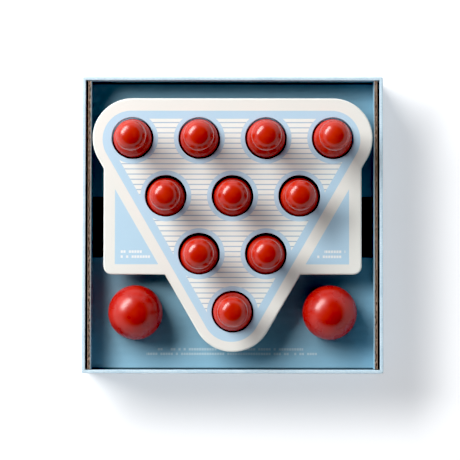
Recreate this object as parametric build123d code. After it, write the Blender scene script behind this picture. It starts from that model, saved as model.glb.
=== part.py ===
from build123d import *
import os
from math import cos, radians, sqrt

# A tabletop ten-pin bowling set, stored in the base of its box.
# Millimetres. The origin is at the centre of the box's underside, +X to the
# right, +Y to the back row of pins, +Z up. The box is sized from the inside
# out: pin field, setter, tray, box.

# --- Driving dimensions -------------------------------------------------------

# Pin field: four rows on an equilateral grid, the single pin at the front
PIN_ROWS = 4
PIN_PITCH = 49.0
PIN_HOLE_GAP = 1.05  # pin belly to the edge of its hole
PIN_FORWARD = 0.6  # pins on the box floor rest this far in front of their holes' centres

# Pin, turned wood
PIN_BASE_RADIUS = 9.5
PIN_BASE_ROUND = 0.8
PIN_FLARE = 0.22  # sideways lean of the profile where it leaves the base
PIN_BELLY_RADIUS = 14.2
PIN_BELLY_HEIGHT = 30.5
PIN_NECK_RADIUS = 7.0
PIN_NECK_HEIGHT = 46.0
PIN_HEAD_RADIUS = 11.0
PIN_HEAD_HEIGHT = 56.5
PIN_SHOULDER_RADIUS = 8.5  # profile of the head above its widest level
PIN_CROWN_RADIUS = 14.0  # flatter top of the head

# Balls, turned wood, each nested in a round well
BALL_RADIUS = 20.0
BALL_SINK = 11.6  # lowest point of a ball below the deck's top
BALL_GAP = 0.3  # ball to the edge of its well
BALL_FORWARD = 0.6  # balls in front of the front pin's centre

# Pin setter: die-cut board with a printed face
SETTER_BOARD = 2.0
SETTER_FACE = 0.4
SETTER_MARGIN = 29.4  # corner pin centres to the outline
SETTER_SINK = 1.0  # printed face below the box rim
SETTER_SIDE_GAP = 0.9  # lobes to the tray walls
SETTER_END_GAP = 13.15  # outline to the box's inside, front and back
WING_GAP = 9.2  # wing edge to the tray wall, a finger's room
WING_CORNER = 6.2

# Tray: one scored and folded sheet of corrugated board
TRAY_BOARD = 3.0
TRAY_SIDE_GAP = 1.0
TRAY_END_GAP = 0.5
TRAY_WALL_SINK = 0.6  # top of the side walls below the box rim
DECK_TOP = 22.0
LEG_RELIEF = 1.0  # legs and feet are this much shorter than the deck, each end
FOOT_MARGIN = 9.0  # foot reaches this far past the bases of its pins
REST_INSET = 7.0  # rest's outer face in from the wing edge
SLOT_LENGTH = 44.8
SLOT_CENTRE_Y = -1.1

# Box base: greyboard covered with paper
BOX_HEIGHT = 38.0
GREYBOARD = 2.0
WRAP = 0.25
WRAP_TURN_IN = 14.0  # down the inside of the rim
WRAP_LIFT = 0.4  # bare edge of the wrap above the table

# --- Derived sizes ------------------------------------------------------------

ROW_STEP = PIN_PITCH * sqrt(3) / 2
FIELD_HALF_X = PIN_PITCH * (PIN_ROWS - 1) / 2
FIELD_HALF_Y = ROW_STEP * (PIN_ROWS - 1) / 2
HOLE_RADIUS = PIN_BELLY_RADIUS + PIN_HOLE_GAP

SETTER_HALF_X = FIELD_HALF_X + SETTER_MARGIN
SETTER_HALF_Y = FIELD_HALF_Y + SETTER_MARGIN
SETTER_TOP = BOX_HEIGHT - SETTER_SINK
FACE_BOTTOM = SETTER_TOP - SETTER_FACE
SETTER_BOTTOM = FACE_BOTTOM - SETTER_BOARD

DECK_HALF_X = SETTER_HALF_X + SETTER_SIDE_GAP
TRAY_HALF_X = DECK_HALF_X + TRAY_BOARD
DECK_BOTTOM = DECK_TOP - TRAY_BOARD
WING_HALF_X = DECK_HALF_X - WING_GAP
WING_FRONT_Y = ROW_STEP - FIELD_HALF_Y - HOLE_RADIUS  # level with the third row's holes
REST_OUTER_X = WING_HALF_X - REST_INSET

RIM = GREYBOARD + 2 * WRAP
INSIDE_HALF_X = TRAY_HALF_X + TRAY_SIDE_GAP
INSIDE_HALF_Y = SETTER_HALF_Y + SETTER_END_GAP
BOX_HALF_X = INSIDE_HALF_X + RIM
BOX_HALF_Y = INSIDE_HALF_Y + RIM
DECK_HALF_Y = INSIDE_HALF_Y - TRAY_END_GAP
LEG_INNER_Y = DECK_HALF_Y - TRAY_BOARD
FOOT_TOP = GREYBOARD + TRAY_BOARD
FOOT_INNER_Y = FIELD_HALF_Y - PIN_BASE_RADIUS - FOOT_MARGIN

# A ball lies just in front of the front pin, as far from the setter's slanted
# side as from the tray wall.
BALL_X = (DECK_HALF_X + SETTER_MARGIN) / (1 + cos(radians(30)))
BALL_Y = -FIELD_HALF_Y - BALL_FORWARD
BALL_Z = DECK_TOP - BALL_SINK + BALL_RADIUS
WELL_RADIUS = sqrt((BALL_RADIUS + BALL_GAP) ** 2 - (BALL_Z - DECK_TOP) ** 2)

# Pin centres from the back row, left to right, to the front pin
PIN_CENTRES = [
    ((i - (count - 1) / 2) * PIN_PITCH, (count - 1) * ROW_STEP - FIELD_HALF_Y)
    for count in range(PIN_ROWS, 0, -1)
    for i in range(count)
]
FIELD_CORNERS = [(-FIELD_HALF_X, FIELD_HALF_Y), (FIELD_HALF_X, FIELD_HALF_Y), (0, -FIELD_HALF_Y)]


def slab(x_low, x_high, y_low, y_high, z_low, z_high):
    """A rectangular panel between two opposite corners."""
    panel = Box(x_high - x_low, y_high - y_low, z_high - z_low, align=(Align.MIN,) * 3)
    return Pos(x_low, y_low, z_low) * panel


def block(half_x, half_y, z_low, z_high):
    """A rectangular block centred on the origin in plan."""
    return slab(-half_x, half_x, -half_y, half_y, z_low, z_high)


# --- Box ----------------------------------------------------------------------


def box_pieces():
    """Floor, four walls standing on it, and the paper that covers them."""
    half_x, half_y = BOX_HALF_X - WRAP, BOX_HALF_Y - WRAP
    inner_x, inner_y = half_x - GREYBOARD, half_y - GREYBOARD
    top = BOX_HEIGHT - WRAP
    return {
        "box_floor": block(half_x, half_y, 0, GREYBOARD),
        "box_wall_front": slab(-half_x, half_x, -half_y, -inner_y, GREYBOARD, top),
        "box_wall_back": slab(-half_x, half_x, inner_y, half_y, GREYBOARD, top),
        "box_wall_left": slab(-half_x, -inner_x, -inner_y, inner_y, GREYBOARD, top),
        "box_wall_right": slab(inner_x, half_x, -inner_y, inner_y, GREYBOARD, top),
        "box_wrap": box_wrap(half_x, half_y, inner_x, inner_y, top),
    }


def box_wrap(half_x, half_y, inner_x, inner_y, top):
    """Paper round the outside, over the rim and turned in behind it."""
    paper = block(BOX_HALF_X, BOX_HALF_Y, WRAP_LIFT, BOX_HEIGHT)
    paper -= block(half_x, half_y, WRAP_LIFT, top) - block(inner_x, inner_y, WRAP_LIFT, top)
    paper -= block(inner_x, inner_y, WRAP_LIFT, BOX_HEIGHT - WRAP_TURN_IN)
    return paper - block(INSIDE_HALF_X, INSIDE_HALF_Y, WRAP_LIFT, BOX_HEIGHT)


# --- Tray ---------------------------------------------------------------------


def tray_deck():
    """Level panel with pin holes, ball wells and the slots the rests came from."""
    deck = Rectangle(2 * DECK_HALF_X, 2 * DECK_HALF_Y)
    deck -= Locations(*PIN_CENTRES) * Circle(HOLE_RADIUS)
    deck -= Locations((-BALL_X, BALL_Y), (BALL_X, BALL_Y)) * Circle(WELL_RADIUS)
    slot_width = DECK_HALF_X - REST_OUTER_X
    slot_x = (DECK_HALF_X + REST_OUTER_X) / 2
    slots = Locations((-slot_x, SLOT_CENTRE_Y), (slot_x, SLOT_CENTRE_Y))
    deck -= slots * Rectangle(slot_width, SLOT_LENGTH)
    return Pos(0, 0, DECK_BOTTOM) * extrude(deck, TRAY_BOARD)


def tray_pieces():
    """The sheet's panels: deck, side walls, legs, feet and setter rests."""
    wall_top = BOX_HEIGHT - TRAY_WALL_SINK
    leg_x = DECK_HALF_X - LEG_RELIEF
    slot_front = SLOT_CENTRE_Y - SLOT_LENGTH / 2
    slot_back = SLOT_CENTRE_Y + SLOT_LENGTH / 2
    rest_inner_x = REST_OUTER_X - TRAY_BOARD
    right = {
        "tray_wall": slab(
            DECK_HALF_X, TRAY_HALF_X, -DECK_HALF_Y, DECK_HALF_Y, DECK_BOTTOM, wall_top
        ),
        "setter_rest": slab(
            rest_inner_x, REST_OUTER_X, slot_front, slot_back, DECK_TOP, SETTER_BOTTOM
        ),
    }
    back = {
        "tray_leg": slab(-leg_x, leg_x, LEG_INNER_Y, DECK_HALF_Y, GREYBOARD, DECK_BOTTOM),
        "tray_foot": slab(-leg_x, leg_x, FOOT_INNER_Y, LEG_INNER_Y, GREYBOARD, FOOT_TOP),
    }
    pieces = {"tray_deck": tray_deck()}
    for name, panel in right.items():
        pieces[name + "_right"] = panel
        pieces[name + "_left"] = mirror(panel, Plane.YZ)
    for name, panel in back.items():
        pieces[name + "_back"] = panel
        pieces[name + "_front"] = mirror(panel, Plane.XZ)
    return pieces


# --- Pin setter ---------------------------------------------------------------


def setter_outline():
    """Rounded triangle round the pin field, with a square wing on each side."""
    with BuildSketch() as triangle:
        with Locations(*FIELD_CORNERS):
            Circle(SETTER_MARGIN)
        make_hull()
    depth = FIELD_HALF_Y - WING_FRONT_Y
    wings = Pos(0, WING_FRONT_Y + depth / 2) * Rectangle(2 * WING_HALF_X, depth)
    front_corners = wings.vertices().group_by(Axis.Y)[0]
    wings = fillet(front_corners, WING_CORNER)
    return triangle.sketch + wings - Locations(*PIN_CENTRES) * Circle(HOLE_RADIUS)


def setter_pieces():
    """Board and the printed sheet on top of it, cut to one outline."""
    outline = setter_outline()
    return {
        "setter_board": Pos(0, 0, SETTER_BOTTOM) * extrude(outline, SETTER_BOARD),
        "setter_face": Pos(0, 0, FACE_BOTTOM) * extrude(outline, SETTER_FACE),
    }


# --- Pins and balls -----------------------------------------------------------


def pin():
    """One pin, standing on the origin."""
    base_edge = (PIN_BASE_RADIUS - PIN_BASE_ROUND, 0)
    side = (PIN_BASE_RADIUS, PIN_BASE_ROUND)
    belly = (PIN_BELLY_RADIUS, PIN_BELLY_HEIGHT)
    neck = (PIN_NECK_RADIUS, PIN_NECK_HEIGHT)
    head = (PIN_HEAD_RADIUS, PIN_HEAD_HEIGHT)
    up = (0, 1)
    # the crown is an arc about the axis that the shoulder's arc meets smoothly
    across = PIN_HEAD_RADIUS - PIN_SHOULDER_RADIUS
    drop = sqrt((PIN_CROWN_RADIUS - PIN_SHOULDER_RADIUS) ** 2 - across**2)
    reach = PIN_CROWN_RADIUS / (PIN_CROWN_RADIUS - PIN_SHOULDER_RADIUS)
    crown_centre = PIN_HEAD_HEIGHT - drop
    crown_edge = (across * reach, crown_centre + drop * reach)
    top = crown_centre + PIN_CROWN_RADIUS
    with BuildPart() as turned:
        with BuildSketch(Plane.XZ):
            with BuildLine():
                Line((0, 0), base_edge)
                Line(base_edge, side)
                Spline(side, belly, tangents=[(PIN_FLARE, 1), up])
                Spline(belly, neck, tangents=[up, up])
                Spline(neck, head, tangents=[up, up])
                shoulder = TangentArc(head, crown_edge, tangent=up)
                TangentArc(crown_edge, (0, top), tangent=shoulder % 1)
                Line((0, top), (0, 0))
            make_face()
        revolve(axis=Axis.Z)
    return turned.part


def pin_and_ball_pieces():
    """Back row and front pin stand on the tray's feet, the others on the floor."""
    one_pin = pin()
    pieces = {}
    for number, (x, y) in enumerate(PIN_CENTRES, start=1):
        on_foot = abs(y) > FOOT_INNER_Y
        place = Pos(x, y, FOOT_TOP) if on_foot else Pos(x, y - PIN_FORWARD, GREYBOARD)
        pieces[f"pin_{number:02d}"] = place * one_pin
    for name, x in (("ball_left", -BALL_X), ("ball_right", BALL_X)):
        pieces[name] = Pos(x, BALL_Y, BALL_Z) * Sphere(BALL_RADIUS)
    return pieces


# --- Export -------------------------------------------------------------------

os.makedirs("parts", exist_ok=True)
everything = box_pieces() | tray_pieces() | setter_pieces() | pin_and_ball_pieces()
for node, shape in everything.items():
    export_step(shape, f"parts/{node}.step")
    print(node, shape.bounding_box())
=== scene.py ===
from math import cos, pi, radians, sin

import bmesh
import bpy
from mathutils import Matrix, Vector


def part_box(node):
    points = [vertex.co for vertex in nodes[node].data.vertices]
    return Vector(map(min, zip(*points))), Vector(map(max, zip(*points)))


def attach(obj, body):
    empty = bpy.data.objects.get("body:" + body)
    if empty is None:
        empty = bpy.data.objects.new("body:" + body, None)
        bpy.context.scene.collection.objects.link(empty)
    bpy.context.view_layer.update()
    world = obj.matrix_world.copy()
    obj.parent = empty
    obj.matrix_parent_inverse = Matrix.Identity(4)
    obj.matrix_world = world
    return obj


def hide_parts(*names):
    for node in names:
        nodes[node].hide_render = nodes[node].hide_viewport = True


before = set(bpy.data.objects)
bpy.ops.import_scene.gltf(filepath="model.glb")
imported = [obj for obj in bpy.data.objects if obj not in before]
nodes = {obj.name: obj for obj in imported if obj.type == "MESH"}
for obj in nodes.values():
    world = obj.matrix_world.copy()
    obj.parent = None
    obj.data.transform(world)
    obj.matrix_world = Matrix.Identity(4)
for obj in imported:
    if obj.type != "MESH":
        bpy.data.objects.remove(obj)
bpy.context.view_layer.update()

scene = bpy.context.scene

# --- Camera -------------------------------------------------------------------
# A long lens almost straight above the front pin, tipped a little to the back
# and turned by a trace, as the box lies on the table.

camera = bpy.data.objects.new("camera", bpy.data.cameras.new("camera"))
scene.collection.objects.link(camera)
scene.camera = camera
camera.data.sensor_width = 36
camera.data.lens = 156.35
camera.location = (0.0002, -0.060, 1.500)
camera.rotation_euler = (radians(2.20), radians(0.08), radians(0.06))

# --- Studio -------------------------------------------------------------------
# A white table with one softbox at the back left and a pale band of cards low all
# round. The ceiling is dark, so hollows stay dark and the deepest tones go black.

black_level = 0.018
table_grey = (0.80, 0.80, 0.80, 1)
table_light = (0.96, 0.97, 1.0, 1)
table_glow = 0.41
glow_on_pieces = 0.03
table_half = 4
softbox_way = Vector((-0.640, 0.515, 0.570)).normalized()
softbox_distance = 2.0
card_white = (0.90, 0.94, 1.0, 1)
card_light = 1.24
light_at_table = 0.5
card_foot = 0.25
card_top = 0.30
ceiling_edge = 0.66

scene.view_settings.view_transform = "Standard"
scene.view_settings.use_curve_mapping = True
scene.view_settings.curve_mapping.black_level = [black_level] * 3


def new_material(name, settings):
    """A material of one Principled shader, with plain values on its own sockets."""
    material = bpy.data.materials.new(name)
    material.use_nodes = True
    shader = material.node_tree.nodes["Principled BSDF"]
    for socket, value in settings.items():
        shader.inputs[socket].default_value = value
    return material


table_white = new_material("table_white", {
    "Base Color": table_grey,
    "Roughness": 0.9,
    "Specular IOR Level": 0.0,
    "Emission Color": table_light,
})

table = bpy.data.objects.new("table_top", bpy.data.meshes.new("table_top"))
grid = bmesh.new()
bmesh.ops.create_grid(grid, x_segments=1, y_segments=1, size=table_half)
grid.to_mesh(table.data)
grid.free()
table.data.materials.append(table_white)
scene.collection.objects.link(table)

softbox = bpy.data.objects.new("softbox", bpy.data.lights.new("softbox", "AREA"))
softbox.data.shape = "RECTANGLE"
softbox.data.size = 1.7
softbox.data.size_y = 0.7
softbox.data.energy = 62
softbox.location = softbox_way * softbox_distance
softbox.rotation_euler = (-softbox_way).to_track_quat("-Z", "Y").to_euler()
scene.collection.objects.link(softbox)


def add(tree, kind, inputs=None, **properties):
    """Adds a node to a tree, with its properties, and fills or links its inputs."""
    node = tree.nodes.new(kind)
    for name, value in properties.items():
        setattr(node, name, value)
    for key, value in (inputs or {}).items():
        if isinstance(value, bpy.types.NodeSocket):
            tree.links.new(value, node.inputs[key])
        else:
            node.inputs[key].default_value = value
    return node


def calc(tree, operation, *values):
    """The result of a Math node on numbers and sockets."""
    return add(tree, "ShaderNodeMath", dict(enumerate(values)), operation=operation).outputs[0]


def ramp(tree, value, low, high, to_low=0.0, to_high=1.0):
    """A smooth change from to_low to to_high while the value goes from low to high."""
    limits = {"Value": value, "From Min": low, "From Max": high}
    limits |= {"To Min": to_low, "To Max": to_high}
    node = add(tree, "ShaderNodeMapRange", limits, interpolation_type="SMOOTHSTEP")
    return node.outputs["Result"]


# The table glows where it is seen or mirrored, and hardly at all on to the pieces.
glow = table_white.node_tree
soft_bounce = add(glow, "ShaderNodeLightPath").outputs["Is Diffuse Ray"]
strength = calc(glow, "MULTIPLY_ADD", soft_bounce, glow_on_pieces - table_glow, table_glow)
glow.links.new(strength, glow.nodes["Principled BSDF"].inputs["Emission Strength"])

# The cards' light by height, from 0 level with the table to 1 overhead.
room = bpy.data.worlds.new("room")
room.use_nodes = True
scene.world = room
air = room.node_tree
way = add(air, "ShaderNodeTexCoord").outputs["Generated"]
height = add(air, "ShaderNodeSeparateXYZ", {0: way}).outputs["Z"]
over_table = ramp(air, height, 0.0, card_foot, light_at_table, 1.0)
under_ceiling = ramp(air, height, card_top, ceiling_edge, card_light, 0.0)
background = air.nodes["Background"]
background.inputs["Color"].default_value = card_white
air.links.new(calc(air, "MULTIPLY", over_table, under_ceiling), background.inputs["Strength"])

# --- Box base -----------------------------------------------------------------
# A set-up box base: grey board scored and folded to a floor and four walls. Pale
# blue paper is glued round the outside, over the rim and 14 mm down the inside.

wrap_low, wrap_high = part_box("box_wrap")
board_low, board_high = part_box("box_wall_right")
paper = wrap_high.x - board_high.x
rim = board_high.x - board_low.x + 2 * paper
turn_in = 0.014
flap = 0.016
outer_corner = 0.0014
inner_corner = 0.0003
rim_round = 0.00045
foot_wear, foot_fade = 0.6, 0.002
lip_wear, lip_fade = 0.3, 0.001
crisp_angle = radians(50)
wrap_blue = ((0.39, 0.585, 0.715, 1), (0.45, 0.64, 0.765, 1))
rubbed_blue = (0.72, 0.86, 0.93, 1)
seam_blue = (0.25, 0.42, 0.52, 1)
underside_blue = (0.60, 0.79, 0.90, 1)
board_grey = ((0.25, 0.235, 0.21, 1), (0.44, 0.42, 0.385, 1))
fleck_grey = (0.16, 0.15, 0.14, 1)


def rounded_rectangle(half_x, half_y, radius, z, steps=6):
    """Points of a level rounded rectangle, anticlockwise from its right side."""
    points = []
    for quarter, (side_x, side_y) in enumerate([(1, 1), (-1, 1), (-1, -1), (1, -1)]):
        for step in range(steps + 1):
            angle = (quarter + step / steps) * pi / 2
            x = side_x * (half_x - radius) + radius * cos(angle)
            y = side_y * (half_y - radius) + radius * sin(angle)
            points.append((x, y, z))
    return points


def tube(name, rings, wear):
    """A closed skin through a loop of rings, with a value for each ring's wear."""
    count = len(rings[0])
    faces = []
    for ring in range(len(rings)):
        after = (ring + 1) % len(rings)
        for i in range(count):
            j = (i + 1) % count
            faces.append((ring * count + i, ring * count + j, after * count + j, after * count + i))
    mesh = bpy.data.meshes.new(name)
    mesh.from_pydata([point for ring in rings for point in ring], [], faces)
    edge = mesh.attributes.new("edge", "FLOAT", "POINT")
    edge.data.foreach_set("value", [value for value in wear for _ in range(count)])
    skin = bmesh.new()
    skin.from_mesh(mesh)
    bmesh.ops.recalc_face_normals(skin, faces=skin.faces)
    skin.to_mesh(mesh)
    skin.free()
    return mesh


def fold(inset, level, radius, start, steps=4):
    """A worn quarter turn of the paper's section: inset from the outside, level, wear."""
    turn = []
    for step in range(steps + 1):
        angle = start - step / steps * pi / 2
        turn.append((inset + radius * cos(angle), level + radius * sin(angle), 1.0))
    return turn


def dress(mesh, material):
    """Gives a mesh one material and no other."""
    mesh.materials.clear()
    mesh.materials.append(material)


def piece(name, mesh, material, slot, body, *replaced):
    """Links a finished mesh as a piece that rides on a body and stands for CAD nodes."""
    item = bpy.data.objects.new(name, mesh)
    scene.collection.objects.link(item)
    dress(mesh, material)
    mesh.shade_smooth()
    mesh.set_sharp_from_angle(angle=crisp_angle)
    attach(item, body)
    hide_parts(*replaced)


foot, top = wrap_low.z, wrap_high.z
section = [(0, foot, foot_wear), (0, foot + foot_fade, 0)]
section += fold(rim_round, top - rim_round, rim_round, pi)
section += fold(rim - rim_round, top - rim_round, rim_round, pi / 2)
section += [(rim, top - turn_in + lip_fade, 0), (rim, top - turn_in, lip_wear)]
section += [(rim - paper, top - turn_in, lip_wear), (rim - paper, top - paper, 0)]
section += [(paper, top - paper, 0), (paper, foot, 0)]
wrap_rings = []
for inset, level, _ in section:
    radius = max(outer_corner - inset, inner_corner)
    wrap_rings.append(rounded_rectangle(wrap_high.x - inset, wrap_high.y - inset, radius, level))


def new_group(name, inputs, outputs):
    """An empty shader node group with number sockets of these names."""
    group = bpy.data.node_groups.new(name, "ShaderNodeTree")
    for side, names in (("INPUT", inputs), ("OUTPUT", outputs)):
        for socket in names:
            group.interface.new_socket(socket, in_out=side, socket_type="NodeSocketFloat")
    return group


def paper_grain():
    """Group: fibres in paper and board, as a tone from 0 to 1 and a height."""
    cloud_share = 0.4
    group = new_group("paper_grain", ["Fibre"], ["Tone", "Height"])
    scale = calc(group, "DIVIDE", 1.0, add(group, "NodeGroupInput").outputs["Fibre"])
    place = add(group, "ShaderNodeTexCoord").outputs["Object"]
    drawn_out = add(group, "ShaderNodeMapping", {"Vector": place, "Scale": (0.35, 1.0, 1.0)})
    cloud = add(group, "ShaderNodeTexNoise", {"Vector": place, "Scale": 55.0, "Detail": 3.0})
    fibres = add(group, "ShaderNodeTexNoise", {
        "Vector": drawn_out.outputs[0], "Scale": scale, "Detail": 4.0, "Roughness": 0.65,
        "Distortion": 0.6,
    })
    tone = calc(group, "MULTIPLY", fibres.outputs[0], 1 - cloud_share)
    tone = calc(group, "MULTIPLY_ADD", cloud.outputs[0], cloud_share, tone)
    add(group, "NodeGroupOutput", {"Tone": tone, "Height": fibres.outputs[0]})
    return group


grain_group = paper_grain()


def grain(tree, fibre):
    """The tone and height of paper with fibres of this width in metres."""
    return add(tree, "ShaderNodeGroup", {"Fibre": fibre}, node_tree=grain_group).outputs


def matt(tree, tone, smooth, rough):
    """The roughness of paper, from smooth to rough with its tone."""
    return ramp(tree, tone, 0.2, 0.8, smooth, rough)


def blend(tree, mask, first, second):
    """A colour that goes from first to second as the mask goes from 0 to 1."""
    colours = {"Factor": mask, 6: first, 7: second}
    return add(tree, "ShaderNodeMix", colours, data_type="RGBA").outputs[2]


def finish(material, colour, roughness, height, depth):
    """Feeds a material's colour and roughness, and its height as a bump in metres."""
    tree = material.node_tree
    shader = tree.nodes["Principled BSDF"]
    bump = add(tree, "ShaderNodeBump", {"Height": height, "Distance": depth})
    for socket, value in (("Base Color", colour), ("Roughness", roughness)):
        tree.links.new(value, shader.inputs[socket])
    tree.links.new(bump.outputs[0], shader.inputs["Normal"])


def object_place(tree):
    """Object coordinates as x, y and z, then x and y as distances from the centre."""
    place = add(tree, "ShaderNodeTexCoord").outputs["Object"]
    x, y, z = add(tree, "ShaderNodeSeparateXYZ", {0: place}).outputs
    return x, y, z, calc(tree, "ABSOLUTE", x), calc(tree, "ABSOLUTE", y)


def wrap_paper():
    """Printed blue paper: rubbed paler on its folds, with mitred corner seams."""
    rub_strength, seam_strength = 0.85, 0.5
    seam_core, seam_side = 0.0001, 0.0003
    flap_blur = 0.0002
    flap_rise, seam_fall = 4.0, -6.0
    material = new_material("wrap_paper", {"Specular IOR Level": 0.4})
    tree = material.node_tree
    far_x, far_y = object_place(tree)[3:]
    tone, height = grain(tree, 0.0006)
    blue = blend(tree, tone, *wrap_blue)
    edge = add(tree, "ShaderNodeAttribute", attribute_name="edge").outputs["Fac"]
    rubbed = calc(tree, "MULTIPLY", edge, ramp(tree, tone, 0.40, 0.60, 0.45, 1.0))
    from_side = calc(tree, "SUBTRACT", wrap_high.x, far_x)
    from_end = calc(tree, "SUBTRACT", wrap_high.y, far_y)
    across = calc(tree, "ABSOLUTE", calc(tree, "SUBTRACT", from_side, from_end))
    in_corner = calc(tree, "LESS_THAN", calc(tree, "MAXIMUM", from_side, from_end), rim)
    seam = calc(tree, "MULTIPLY", ramp(tree, across, seam_core, seam_side, 1, 0), in_corner)
    colour = blend(tree, calc(tree, "MULTIPLY", seam, seam_strength), blue, seam_blue)
    colour = blend(tree, calc(tree, "MULTIPLY", rubbed, rub_strength), colour, rubbed_blue)
    step = ramp(tree, from_side, flap - flap_blur, flap + flap_blur, 1, 0)
    height = calc(tree, "MULTIPLY_ADD", step, flap_rise, height)
    height = calc(tree, "MULTIPLY_ADD", seam, seam_fall, height)
    finish(material, colour, matt(tree, tone, 0.42, 0.55), height, depth=0.00003)
    return material


def greyboard():
    """Pressed grey board with dark flecks, papered round its underside."""
    under_floor = 0.0001
    material = new_material("greyboard", {"Specular IOR Level": 0.2})
    tree = material.node_tree
    z, far_x, far_y = object_place(tree)[2:]
    tone, height = grain(tree, 0.0009)
    colour = blend(tree, tone, *board_grey)
    place = add(tree, "ShaderNodeTexCoord").outputs["Object"]
    flecks = add(tree, "ShaderNodeTexVoronoi", {"Vector": place, "Scale": 260.0})
    fleck = ramp(tree, flecks.outputs["Distance"], 0.10, 0.16, 1, 0)
    colour = blend(tree, fleck, colour, fleck_grey)
    near_side = calc(tree, "GREATER_THAN", far_x, wrap_high.x - flap)
    near_end = calc(tree, "GREATER_THAN", far_y, wrap_high.y - flap)
    covered = calc(tree, "MAXIMUM", near_side, near_end)
    covered = calc(tree, "MULTIPLY", covered, calc(tree, "LESS_THAN", z, under_floor))
    colour = blend(tree, covered, colour, underside_blue)
    finish(material, colour, matt(tree, tone, 0.8, 0.95), height, depth=0.00008)
    return material


wrap_mesh = tube("box_wrap_paper", wrap_rings, [wear for _, _, wear in section])
piece("box_wrap_paper", wrap_mesh, wrap_paper(), "wrap_paper", "box", "box_wrap")
box_board = greyboard()
for name in ("box_floor", "box_wall_front", "box_wall_back", "box_wall_left", "box_wall_right"):
    dress(nodes[name].data, box_board)

# --- Tray ---------------------------------------------------------------------
# One sheet of corrugated board, printed blue above, scored and folded into a deck
# with side walls, legs and feet. It stands loose in the box; its cuts show flutes.

deck_low, deck_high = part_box("tray_deck")
wall_low, wall_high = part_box("tray_wall_right")
board = deck_high.z - deck_low.z
flute_pitch = 0.0063
liner = 0.0004
wall_pinch = 0.0006
crush_depth = 0.0016
deck_fold_shade_width = 0.0012
print_blue = ((0.235, 0.44, 0.565, 1), (0.29, 0.51, 0.635, 1))
print_pale = (0.66, 0.76, 0.78, 1)
# Painted shade for the deck's folds at its front and back ends.
fold_shade_colour = (0.02, 0.05, 0.08, 1)
kraft_brown = ((0.235, 0.160, 0.115, 1), (0.36, 0.262, 0.198, 1))
# Painted shade for the open flute hollows seen in a cut edge.
flute_hollow_shade = (0.045, 0.028, 0.020, 1)
liner_edge = (0.42, 0.42, 0.40, 1)
# Rows of dashes: left end, right end, middle, height, dash and gap, seed.
deck_lines = (
    (-0.0553, 0.0522, -0.0914, 0.0017, 0.0019, 3.0),
    (-0.0635, 0.0626, -0.0948, 0.0017, 0.0019, 41.0),
)


def fluted_section():
    """Group: where a cut through corrugated board shows paper, from 0 to 1."""
    wave_core, wave_side = 0.00025, 0.0005
    liner_blur = 0.0001
    group = new_group("fluted_section", ["Across", "Along"], ["Paper"])
    across, along = add(group, "NodeGroupInput").outputs[:2]
    turn = calc(group, "MULTIPLY", along, 2 * pi / flute_pitch)
    wave = calc(group, "MULTIPLY", calc(group, "SINE", turn), board / 2 - 1.5 * liner)
    from_wave = calc(group, "ABSOLUTE", calc(group, "SUBTRACT", across, wave))
    medium = ramp(group, from_wave, wave_core, wave_side, 1, 0)
    from_middle = calc(group, "ABSOLUTE", across)
    faces = ramp(group, from_middle, board / 2 - liner - liner_blur, board / 2 - liner)
    add(group, "NodeGroupOutput", {"Paper": calc(group, "MAXIMUM", medium, faces)})
    return group


section_group = fluted_section()


def greeked(tree, x, y, left, right, middle, tall, word, seed):
    """Mask of one line of printing, as plain dashes with some left out."""
    left_out, dash_share = 0.12, 0.80
    cell = calc(tree, "DIVIDE", x, word)
    number = calc(tree, "ADD", calc(tree, "FLOOR", cell), seed)
    filled = add(tree, "ShaderNodeTexWhiteNoise", {"W": number}, noise_dimensions="1D")
    drawn = calc(tree, "GREATER_THAN", filled.outputs["Value"], left_out)
    within = calc(tree, "LESS_THAN", calc(tree, "FRACT", cell), dash_share)
    inside = calc(tree, "COMPARE", x, (left + right) / 2, (right - left) / 2)
    level = calc(tree, "COMPARE", y, middle, tall / 2)
    dash = calc(tree, "MULTIPLY", drawn, within)
    return calc(tree, "MULTIPLY", dash, calc(tree, "MULTIPLY", inside, level))


def facing(tree, axis):
    """How far the surface faces along an axis, from -1 to 1."""
    normal = add(tree, "ShaderNodeNewGeometry").outputs["Normal"]
    return add(tree, "ShaderNodeSeparateXYZ", {0: normal}).outputs[axis]


def flat_on(tree, axis):
    """Mask of the surfaces that lie square to an axis."""
    return calc(tree, "GREATER_THAN", calc(tree, "ABSOLUTE", facing(tree, axis)), 0.7)


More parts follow.
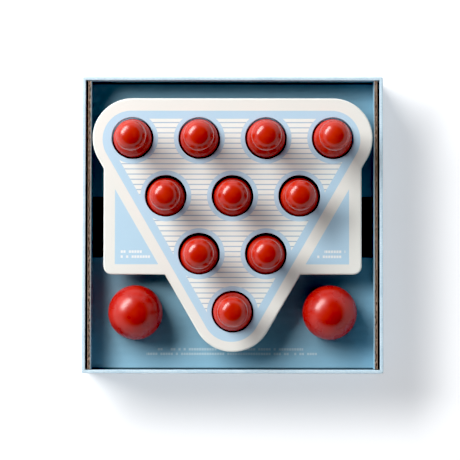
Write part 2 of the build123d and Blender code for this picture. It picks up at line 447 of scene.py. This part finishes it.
def corrugated(name, upright, middle, along, printed, lines=(), fold_shade_width=0.0):
    """Board panel: printed face, brown back and fluted cut edges.

    upright is the axis through its thickness (0, 1 or 2), middle the level of its
    middle on that axis and along the axis that its flutes repeat on. printed is 1 or
    -1 for the printed side, away from or towards the tray's centre. The last argument
    is how far from the front and back ends the printed face gets painted shade, where
    the board bends down out of the light."""
    ink_strength, fold_shade_strength = 0.55, 0.85
    flute_show = 1.2
    material = new_material(name, {"Specular IOR Level": 0.35})
    tree = material.node_tree
    x, y, z, far_x, far_y = object_place(tree)
    across = calc(tree, "SUBTRACT", (far_x, far_y, z)[upright], middle)
    cut = {"Across": across, "Along": (x, y, z)[along]}
    cut = add(tree, "ShaderNodeGroup", cut, node_tree=section_group)
    tone, height = grain(tree, 0.0008)
    brown = blend(tree, tone, *kraft_brown)
    from_face = calc(tree, "SUBTRACT", board / 2, calc(tree, "MULTIPLY", across, printed))
    # The cut edge: painted shade in the flute hollows, brown where paper shows.
    edge = blend(tree, cut.outputs[0], flute_hollow_shade, brown)
    edge = blend(tree, ramp(tree, from_face, liner * 0.6, liner, 1, 0), edge, liner_edge)
    flat = flat_on(tree, upright)
    face = calc(tree, "MULTIPLY", flat, calc(tree, "LESS_THAN", from_face, board / 2))
    blue = blend(tree, tone, *print_blue)
    for line in lines:
        dashes = calc(tree, "MULTIPLY", greeked(tree, x, y, *line), ink_strength)
        blue = blend(tree, dashes, blue, print_pale)
    # Painted shade: the printed blue darkens towards the front and back ends, where the folds turn
    # down out of the light.
    if fold_shade_width:
        end = deck_high.y
        bent = ramp(tree, far_y, end - fold_shade_width, end - fold_shade_width / 3, 0.0, fold_shade_strength)
        blue = blend(tree, bent, blue, fold_shade_colour)
    colour = blend(tree, face, blend(tree, flat, edge, brown), blue)
    ridge = calc(tree, "SINE", calc(tree, "MULTIPLY", (x, y, z)[along], 2 * pi / flute_pitch))
    height = calc(tree, "MULTIPLY_ADD", ridge, flute_show, height)
    finish(material, colour, matt(tree, tone, 0.45, 0.6), height, depth=0.00003)
    return material


deck_middle = deck_high.z - board / 2
leg_middle = deck_high.y - board / 2
foot_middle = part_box("tray_foot_back")[1].z - board / 2
rest_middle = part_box("setter_rest_right")[1].x - board / 2
panels = {
    "tray_deck": corrugated("tray_deck_board", upright=2, middle=deck_middle, along=1, printed=1,
                            lines=deck_lines, fold_shade_width=deck_fold_shade_width),
    "tray_leg": corrugated("tray_leg_board", upright=1, middle=leg_middle, along=2, printed=1),
    "tray_foot": corrugated("tray_foot_board", upright=2, middle=foot_middle, along=1, printed=-1),
    "setter_rest": corrugated("setter_rest_board", upright=0, middle=rest_middle, along=1, printed=1),
}
for start, material in panels.items():
    for name, node in nodes.items():
        if name.startswith(start):
            dress(node.data, material)


def corrugated_wall():
    """Geometry Nodes: two liners, a wavy medium between them and its crushed top.

    The wall stands centred on the origin, along Y, with its printed liner on -X."""
    steps_per_flute, crushed_rows = 12.0, 6
    dent_scale, least_dent = 420.0, 0.15
    weld = 1e-6
    tree = bpy.data.node_groups.new("corrugated_wall", "GeometryNodeTree")
    for name in ("Length", "Height", "Thickness", "Flute Pitch", "Paper", "Crush Depth", "Seed"):
        tree.interface.new_socket(name, in_out="INPUT", socket_type="NodeSocketFloat")
    tree.interface.new_socket("Board", in_out="INPUT", socket_type="NodeSocketMaterial")
    tree.interface.new_socket("Geometry", in_out="OUTPUT", socket_type="NodeSocketGeometry")
    given = add(tree, "NodeGroupInput").outputs
    length, height, thickness = given["Length"], given["Height"], given["Thickness"]
    pitch, sheet = given["Flute Pitch"], given["Paper"]
    position = add(tree, "GeometryNodeInputPosition").outputs[0]
    along, up, _ = add(tree, "ShaderNodeSeparateXYZ", {0: position}).outputs
    half = calc(tree, "MULTIPLY", thickness, 0.5)
    steps = calc(tree, "MULTIPLY", calc(tree, "DIVIDE", length, pitch), steps_per_flute)

    def sheet_of(columns, rows, wide, x, y, z, printed):
        """A flat grid moved to x, y and z, marked as the printed liner or not."""
        flat = add(tree, "GeometryNodeMeshGrid", {
            "Size X": length, "Size Y": wide, "Vertices X": columns, "Vertices Y": rows,
        })
        bent = add(tree, "ShaderNodeCombineXYZ", {0: x, 1: y, 2: z}).outputs[0]
        moved = {"Geometry": flat.outputs[0], "Position": bent}
        moved = add(tree, "GeometryNodeSetPosition", moved).outputs[0]
        mark = {"Geometry": moved, "Name": "printed", "Value": printed}
        return add(tree, "GeometryNodeStoreNamedAttribute", mark, data_type="FLOAT").outputs[0]

    def joined(*parts):
        """Several geometries as one."""
        join = add(tree, "GeometryNodeJoinGeometry")
        for part in parts:
            tree.links.new(part, join.inputs[0])
        return join.outputs[0]

    reach = calc(tree, "SUBTRACT", half, calc(tree, "MULTIPLY", sheet, 1.5))
    turn = calc(tree, "DIVIDE", calc(tree, "MULTIPLY", along, 2 * pi), pitch)
    wave = calc(tree, "MULTIPLY", calc(tree, "SINE", turn), reach)
    wave = calc(tree, "MULTIPLY_ADD", sheet, -0.5, wave)
    medium = sheet_of(steps, 2, height, wave, along, up, 0.0)
    outer = sheet_of(2, 2, height, calc(tree, "SUBTRACT", half, sheet), along, up, 0.0)
    inner = sheet_of(2, 2, height, calc(tree, "MULTIPLY", half, -1.0), along, up, 1.0)
    spot = add(tree, "ShaderNodeVectorMath", {0: position, 1: given["Seed"]}).outputs[0]
    rough = add(tree, "ShaderNodeTexNoise", {"Vector": spot, "Scale": dent_scale, "Detail": 2.0})
    dent = ramp(tree, rough.outputs[0], 0.3, 0.7, least_dent, 1.0)
    dent = calc(tree, "MULTIPLY", dent, given["Crush Depth"])
    level = calc(tree, "SUBTRACT", calc(tree, "MULTIPLY", height, 0.5), dent)
    inside = calc(tree, "MULTIPLY_ADD", sheet, -2.0, thickness)
    crushed = sheet_of(steps, crushed_rows, inside, up, along, level, 0.0)
    crushed = add(tree, "GeometryNodeFlipFaces", {0: crushed}).outputs[0]
    sheets = joined(medium, outer, inner, crushed)
    raised = {"Mesh": sheets, "Offset Scale": sheet, "Individual": False}
    raised = add(tree, "GeometryNodeExtrudeMesh", raised, mode="FACES").outputs[0]
    backs = add(tree, "GeometryNodeFlipFaces", {0: sheets}).outputs[0]
    merged = {0: joined(raised, backs), "Distance": weld}
    merged = add(tree, "GeometryNodeMergeByDistance", merged).outputs[0]
    real = add(tree, "GeometryNodeRealizeInstances", {0: merged}).outputs[0]
    dressed = {"Geometry": real, "Material": given["Board"]}
    dressed = add(tree, "GeometryNodeSetMaterial", dressed).outputs[0]
    add(tree, "NodeGroupOutput", {0: dressed})
    return tree


def grown(name, tree, settings):
    """The plain mesh that a Geometry Nodes tree makes with these named inputs."""
    seedling = bpy.data.objects.new(name, bpy.data.meshes.new(name))
    scene.collection.objects.link(seedling)
    modifier = seedling.modifiers.new(name, "NODES")
    modifier.node_group = tree
    for item in tree.interface.items_tree:
        if item.in_out == "INPUT":
            modifier[item.identifier] = settings[item.name]
    seen = seedling.evaluated_get(bpy.context.evaluated_depsgraph_get())
    mesh = bpy.data.meshes.new_from_object(seen)
    seedling.modifiers.clear()
    bpy.data.objects.remove(seedling)
    return mesh


def wall_board():
    """Brown corrugated board with one printed liner, pale at its cut edge."""
    material = new_material("tray_wall_board", {"Specular IOR Level": 0.3})
    tree = material.node_tree
    tone, height = grain(tree, 0.0008)
    printed = add(tree, "ShaderNodeAttribute", attribute_name="printed").outputs["Fac"]
    front = blend(tree, flat_on(tree, 0), liner_edge, blend(tree, tone, *print_blue))
    colour = blend(tree, printed, blend(tree, tone, *kraft_brown), front)
    finish(material, colour, matt(tree, tone, 0.6, 0.8), height, depth=0.00005)
    return material


wall_material = wall_board()
wall_tree = corrugated_wall()
pinched = wall_high.x - wall_low.x - wall_pinch
middle = (wall_low + wall_high) / 2
middle.x = wall_low.x + pinched / 2
for side, turn, seed in (("right", 0, 0.3), ("left", pi, 1.7)):
    wall_name = "tray_wall_" + side
    wall_mesh = grown(wall_name + "_board", wall_tree, {
        "Length": wall_high.y - wall_low.y,
        "Height": wall_high.z - wall_low.z,
        "Thickness": pinched,
        "Flute Pitch": flute_pitch,
        "Paper": liner,
        "Crush Depth": crush_depth,
        "Seed": seed,
        "Board": wall_material,
    })
    wall_mesh.transform(Matrix.Rotation(turn, 4, "Z") @ Matrix.Translation(middle))
    piece(wall_name + "_board", wall_mesh, wall_material, "tray_board", "tray", wall_name)

# --- Pin setter ---------------------------------------------------------------
# Die-cut grey board faced with printed paper, a rounded triangle with a wing on
# each side. The die rolls its cut edges over. It lies loose on the tray's rests.

face_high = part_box("setter_face")[1]
core_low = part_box("setter_board")[0]
back_pin_low, back_pin_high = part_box("pin_04")
corner_x = (back_pin_low.x + back_pin_high.x) / 2
corner_y = (back_pin_low.y + back_pin_high.y) / 2
pitch = corner_x * 2 / 3
lean = sin(radians(60))
row_step = pitch * lean
hole_play = 0.00105
hole_radius = (back_pin_high.x - back_pin_low.x) / 2 + hole_play
margin = face_high.y - corner_y
wing_past_rest = 0.007
wing_front = row_step - corner_y - hole_radius
wing_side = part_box("setter_rest_right")[1].x + wing_past_rest
wing_corner = 0.0062
face_sheet = 0.0004
outer_bevel, hole_bevel = 0.0002, 0.0001
holes = [
    ((i - (count - 1) / 2) * pitch, (count - 1) * row_step - corner_y)
    for count in (4, 3, 2, 1) for i in range(count)
]

cream = ((0.81, 0.81, 0.755, 1), (0.865, 0.865, 0.81, 1))
# Painted correction: the field's cream is cooler than the border's, to cancel the red light the pins
# bounce on to it.
field_cream_bounce_offset = ((0.825, 0.865, 0.815, 1), (0.88, 0.92, 0.87, 1))
light_blue = ((0.47, 0.675, 0.82, 1), (0.53, 0.73, 0.865, 1))
stripe_blue = (0.37, 0.51, 0.65, 1)
dash_white = (0.93, 0.94, 0.92, 1)
cut_grey = ((0.36, 0.34, 0.30, 1), (0.55, 0.52, 0.46, 1))
back_grey = ((0.62, 0.60, 0.54, 1), (0.70, 0.68, 0.62, 1))
band_inner, band_outer = 0.0152, 0.0211
disc_radius = 0.0187
stripe_pitch, stripe_width, stripe_shift = 0.00379, 0.00068, 0.0007
misprint = 0.0009
wing_print_side, wing_print_front = 0.0858, -0.029
# Rows of dashes: left end, right end, middle, height, dash and gap, seed.
wing_lines = (
    (-0.0827, -0.0665, -0.0197, 0.0019, 0.0020, 5.0),
    (-0.0827, -0.0605, -0.0234, 0.0019, 0.0020, 23.0),
    (0.0672, 0.0826, -0.0197, 0.0019, 0.0020, 57.0),
    (0.0606, 0.0826, -0.0234, 0.0019, 0.0020, 71.0),
)


def arc(centre, radius, start, end, steps):
    """Points of an arc between two angles in degrees."""
    angles = [radians(start + (end - start) * step / steps) for step in range(steps + 1)]
    return [(centre[0] + radius * cos(angle), centre[1] + radius * sin(angle)) for angle in angles]


def setter_outline(inset, z):
    """The outline drawn in by an inset, anticlockwise from the front tip."""
    radius = margin - inset
    side, front = wing_side - inset, wing_front + inset
    meet_x = (radius + (front + corner_y) / 2) / lean
    meet_y = 2 * (lean * side - radius) - corner_y
    corner = (wing_side - wing_corner, wing_front + wing_corner)
    right = arc((0, -corner_y), radius, -90, -30, steps=14) + [(meet_x, front)]
    right += arc(corner, wing_corner - inset, -90, 0, steps=8) + [(side, meet_y)]
    right += arc((corner_x, corner_y), radius, -30, 90, steps=26)
    left = [(-x, y) for x, y in reversed(right)]
    return [(x, y, z) for x, y in right + left[:-1]]


def die_cut(name, edge, hole_edge):
    """A closed board: rings down its outer edge and its holes, filled above and below.

    edge and hole_edge list (inset, level) from the top round to the underside."""
    skin = bmesh.new()
    loops = [[setter_outline(inset, level) for inset, level in edge]]
    for centre in holes:
        loops.append([])
        for inset, level in hole_edge:
            ring = arc(centre, hole_radius + inset, 0, 360, steps=72)[:-1]
            loops[-1].append([(x, y, level) for x, y in ring])
    above, below = [], []
    for rings in loops:
        rows = [[skin.verts.new(point) for point in ring] for ring in rings]
        count = len(rows[0])
        for upper, lower in zip(rows, rows[1:]):
            for i in range(count):
                j = (i + 1) % count
                skin.faces.new((upper[i], upper[j], lower[j], lower[i]))
        for ends, row in ((above, rows[0]), (below, rows[-1])):
            ends += [skin.edges.get((row[i], row[i - 1])) for i in range(count)]
    bmesh.ops.triangle_fill(skin, edges=above, use_beauty=True)
    bmesh.ops.triangle_fill(skin, edges=below, use_beauty=True)
    bmesh.ops.recalc_face_normals(skin, faces=skin.faces)
    mesh = bpy.data.meshes.new(name)
    skin.to_mesh(mesh)
    skin.free()
    return mesh


def rolled(width, drop, level, steps=6):
    """Rings from flat board over a rolled edge, as (inset, level) pairs."""
    flat_ring = 0.0004
    rings = [(width + flat_ring, level)]
    for step in range(steps + 1):
        angle = step / steps * pi / 2
        rings.append((width * (1 - sin(angle)), level - drop * (1 - cos(angle))))
    return rings


def under(rings):
    """The same rings, lower by the thickness of the printed face."""
    return [(inset, level - face_sheet) for inset, level in rings]


def bevelled(bevel):
    """Rings round the board's lower edge, down to its underside."""
    return [(0, core_low.z + bevel), (bevel, core_low.z)]


outer_roll = rolled(width=0.0013, drop=0.0008, level=face_high.z)
hole_roll = rolled(width=0.0005, drop=0.0004, level=face_high.z)
face_outer = outer_roll + under(outer_roll)[::-1]
face_holes = hole_roll + under(hole_roll)[::-1]
core_outer = under(outer_roll) + bevelled(outer_bevel)
core_holes = under(hole_roll) + bevelled(hole_bevel)
face_mesh = die_cut("setter_printed_face", face_outer, face_holes)
core_mesh = die_cut("setter_core_board", core_outer, core_holes)


def distance(tree, x, y):
    """The length of the way along x and y."""
    return calc(tree, "SQRT", calc(tree, "MULTIPLY_ADD", x, x, calc(tree, "MULTIPLY", y, y)))


def triangle_distance(tree, x, y):
    """Distance outside the triangle through the corner holes, 0 inside it."""
    far_x = calc(tree, "ABSOLUTE", x)
    from_tip = calc(tree, "ADD", y, corner_y)
    along = calc(tree, "MULTIPLY_ADD", far_x, 0.5, calc(tree, "MULTIPLY", from_tip, lean))
    along = add(tree, "ShaderNodeClamp", {0: along, 1: 0.0, 2: 3 * pitch}).outputs[0]
    side_x = calc(tree, "MULTIPLY_ADD", along, -0.5, far_x)
    side_y = calc(tree, "MULTIPLY_ADD", along, -lean, from_tip)
    back_x = calc(tree, "MAXIMUM", calc(tree, "SUBTRACT", far_x, corner_x), 0.0)
    back_y = calc(tree, "SUBTRACT", y, corner_y)
    to_side = distance(tree, side_x, side_y)
    to_back = distance(tree, back_x, back_y)
    slope = calc(tree, "MULTIPLY_ADD", far_x, lean, calc(tree, "MULTIPLY", from_tip, -0.5))
    outside = calc(tree, "GREATER_THAN", calc(tree, "MAXIMUM", slope, back_y), 0.0)
    return calc(tree, "MULTIPLY", calc(tree, "MINIMUM", to_side, to_back), outside)


def below(tree, value, limit, blur=0.00008):
    """Mask of a value below a limit, with a printed edge's slight blur."""
    return ramp(tree, value, limit - blur, limit + blur, 1, 0)


def setter_print():
    """Cream face with a striped triangle, pale blue bands, discs and wing corners."""
    dash_strength = 0.85
    wing_blur = 0.0001
    material = new_material("setter_print", {"Specular IOR Level": 0.28})
    tree = material.node_tree
    x, y = object_place(tree)[:2]
    tone, height = grain(tree, 0.0007)
    print_x = calc(tree, "ADD", x, misprint)
    print_y = calc(tree, "ADD", y, misprint)
    from_lines = triangle_distance(tree, print_x, print_y)
    inside_band = below(tree, from_lines, band_outer)
    field = below(tree, from_lines, band_inner)
    row = calc(tree, "DIVIDE", calc(tree, "ADD", y, stripe_shift), stripe_pitch)
    off_row = calc(tree, "ABSOLUTE", calc(tree, "SUBTRACT", row, calc(tree, "ROUND", row)))
    stripe = below(tree, calc(tree, "MULTIPLY", off_row, stripe_pitch), stripe_width / 2)
    discs = 0.0
    for hole_x, hole_y in holes:
        off_x = calc(tree, "SUBTRACT", x, hole_x)
        off_y = calc(tree, "SUBTRACT", y, hole_y)
        disc = below(tree, distance(tree, off_x, off_y), disc_radius)
        discs = calc(tree, "MAXIMUM", discs, disc)
    open_field = calc(tree, "MULTIPLY", field, calc(tree, "SUBTRACT", 1.0, discs))
    blue = calc(tree, "MAXIMUM", calc(tree, "SUBTRACT", inside_band, field), discs)
    wing_x = calc(tree, "ADD", x, misprint / 2)
    beyond = calc(tree, "SUBTRACT", 1.0, below(tree, triangle_distance(tree, wing_x, y), margin))
    within = below(tree, calc(tree, "ABSOLUTE", wing_x), wing_print_side)
    wing = calc(tree, "MULTIPLY", beyond, within)
    behind = ramp(tree, y, wing_print_front, wing_print_front + wing_blur)
    blue = calc(tree, "MAXIMUM", blue, calc(tree, "MULTIPLY", wing, behind))
    # The striped field takes the cooler cream that cancels the pins' red bounce light.
    colour = blend(tree, open_field, blend(tree, tone, *cream), blend(tree, tone, *field_cream_bounce_offset))
    colour = blend(tree, calc(tree, "MULTIPLY", open_field, stripe), colour, stripe_blue)
    colour = blend(tree, blue, colour, blend(tree, tone, *light_blue))
    for line in wing_lines:
        dashes = calc(tree, "MULTIPLY", greeked(tree, x, y, *line), dash_strength)
        colour = blend(tree, dashes, colour, dash_white)
    finish(material, colour, matt(tree, tone, 0.48, 0.6), height, depth=0.00002)
    return material


def setter_core():
    """White-lined grey board: pale below, grey and fibrous at its cut edges."""
    material = new_material("setter_core", {"Specular IOR Level": 0.2})
    tree = material.node_tree
    tone, height = grain(tree, 0.0005)
    cut = blend(tree, tone, *cut_grey)
    back = blend(tree, tone, *back_grey)
    colour = blend(tree, calc(tree, "LESS_THAN", facing(tree, 2), -0.7), cut, back)
    finish(material, colour, matt(tree, tone, 0.7, 0.9), height, depth=0.00006)
    return material


piece("setter_printed_face", face_mesh, setter_print(), "setter_print", "setter", "setter_face")
piece("setter_core_board", core_mesh, setter_core(), "setter_core", "setter", "setter_board")

# --- Pins and balls -----------------------------------------------------------
# Turned wood, dipped in red lacquer that dries with a slight orange peel. The lathe
# leaves faint level rings under the gloss. All twelve stand loose in their holes.

peel_depth = 0.000005
pin_reds = ((0.44, 0.022, 0.011, 1), (0.50, 0.032, 0.015, 1))
ball_reds = ((0.42, 0.016, 0.010, 1), (0.48, 0.024, 0.013, 1))


def lacquer_skin():
    """Group: orange peel and lathe rings under lacquer, as a tone and a height."""
    ring_share = 0.5
    group = new_group("lacquer_skin", ["Ring Pitch"], ["Tone", "Height"])
    ring_pitch = add(group, "NodeGroupInput").outputs["Ring Pitch"]
    place = add(group, "ShaderNodeTexCoord").outputs["Object"]
    level = add(group, "ShaderNodeSeparateXYZ", {0: place}).outputs[2]
    peel = add(group, "ShaderNodeTexNoise", {"Vector": place, "Scale": 520.0, "Detail": 2.0})
    cloud = add(group, "ShaderNodeTexNoise", {"Vector": place, "Scale": 90.0, "Detail": 2.0})
    turns = {"W": calc(group, "DIVIDE", level, ring_pitch), "Scale": 1.0, "Detail": 1.0}
    rings = add(group, "ShaderNodeTexNoise", turns, noise_dimensions="1D")
    height = calc(group, "MULTIPLY_ADD", rings.outputs[0], ring_share, peel.outputs[0])
    add(group, "NodeGroupOutput", {"Tone": cloud.outputs[0], "Height": height})
    return group


skin_group = lacquer_skin()


def red_lacquer(name, reds, ring_pitch, gloss):
    """Glossy red lacquer with slightly uneven depth of colour."""
    material = new_material(name, {"Specular IOR Level": 0.5, "IOR": 1.5})
    tree = material.node_tree
    skin = add(tree, "ShaderNodeGroup", {"Ring Pitch": ring_pitch}, node_tree=skin_group)
    tone, height = skin.outputs
    colour = blend(tree, ramp(tree, tone, 0.35, 0.65), *reds)
    finish(material, colour, ramp(tree, tone, 0.3, 0.7, *gloss), height, peel_depth)
    return material


lacquers = {
    "pin_": red_lacquer("pin_lacquer", pin_reds, ring_pitch=0.0012, gloss=(0.20, 0.26)),
    "ball_": red_lacquer("ball_lacquer", ball_reds, ring_pitch=0.002, gloss=(0.26, 0.32)),
}
for start, material in lacquers.items():
    for name, node in nodes.items():
        if name.startswith(start):
            dress(node.data, material)
